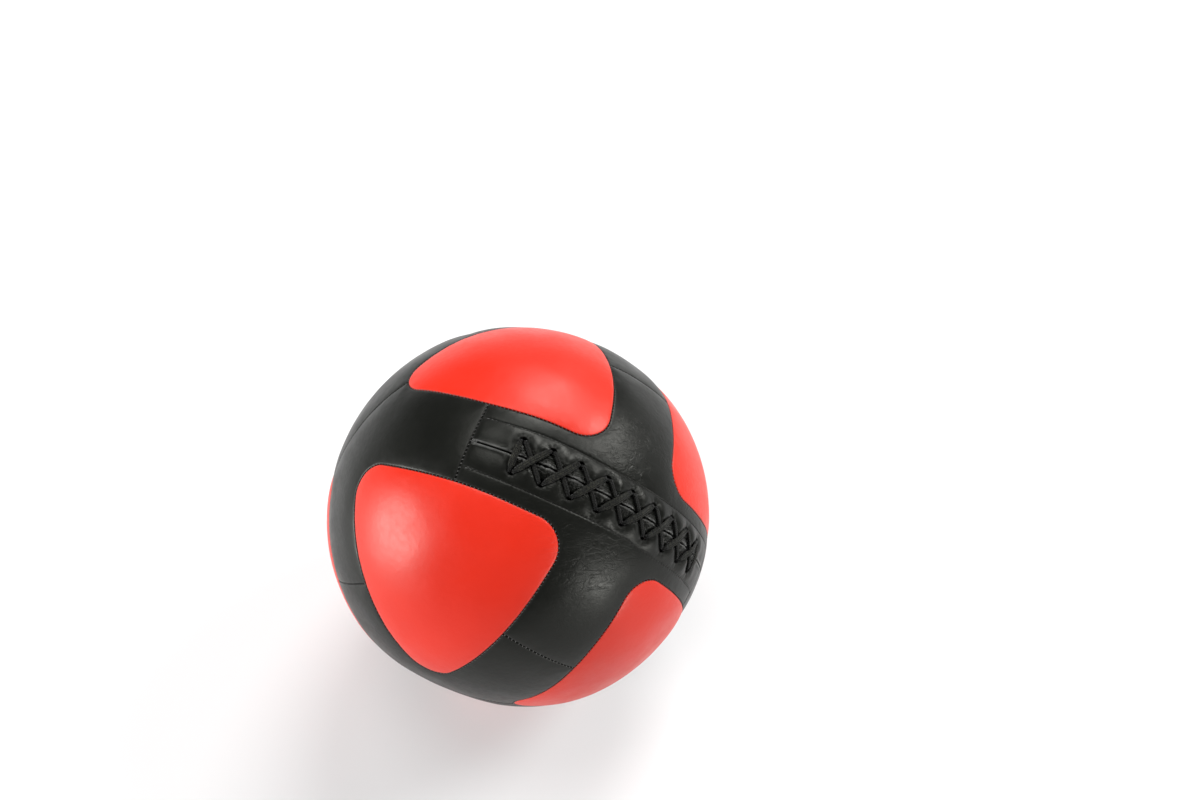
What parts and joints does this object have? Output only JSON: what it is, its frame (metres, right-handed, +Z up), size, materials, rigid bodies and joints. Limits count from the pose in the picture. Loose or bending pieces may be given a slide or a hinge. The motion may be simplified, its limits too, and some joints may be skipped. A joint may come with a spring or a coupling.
{
  "type": "wall ball",
  "caption": "Soft filled exercise ball with a sewn cover of rounded red triangles and black bands, closed by a flat lace, lying at rest.",
  "frame": {"origin": "on the floor, in the middle of the ball's bounding box", "axes": "+Z up; -Y towards the viewer's side, from which the laced slit shows on the upper right"},
  "size_m": [0.3488, 0.3462, 0.3445],
  "materials": {
    "red_leather": "satin, fine grain",
    "black_leather": "satin, fine grain",
    "lace_cord": "matte flat weave",
    "webbing": "matte weave",
    "fibre": "matte felted fibre",
    "canvas": "matte plain weave",
    "iron_sand": "dark loose grain"
  },
  "bodies": {
    "root": {"bag_tie": "lace_cord", "black_panel_back_round_back_lower_left": "black_leather", "black_panel_back_round_back_upper_right": "black_leather", "black_panel_bottom_round_back_lower_right": "black_leather", "black_panel_bottom_round_front_lower_left": "black_leather", "black_panel_left_round_back_upper_left": "black_leather", "black_panel_left_round_front_lower_left": "black_leather", "black_panel_right_round_back_upper_right": "black_leather", "black_panel_right_round_front_lower_right": "black_leather", "black_panel_top_round_back_upper_right": "black_leather", "black_panel_top_round_front_upper_left": "black_leather", "fibre_fill": "fibre", "fill_plug": "fibre", "iron_sand": "iron_sand", "lace": "lace_cord", "lace_facing_lower": "webbing", "lace_facing_upper": "webbing", "lace_knot": "lace_cord", "lace_panel_lower": "black_leather", "lace_panel_upper": "black_leather", "red_panel_back_lower_left": "red_leather", "red_panel_back_lower_right": "red_leather", "red_panel_back_upper_left": "red_leather", "red_panel_back_upper_right": "red_leather", "red_panel_front_lower_left": "red_leather", "red_panel_front_lower_right": "red_leather", "red_panel_front_upper_left": "red_leather", "red_panel_front_upper_right": "red_leather", "tongue": "webbing", "weight_bag": "canvas"}
  },
  "joints": []
}
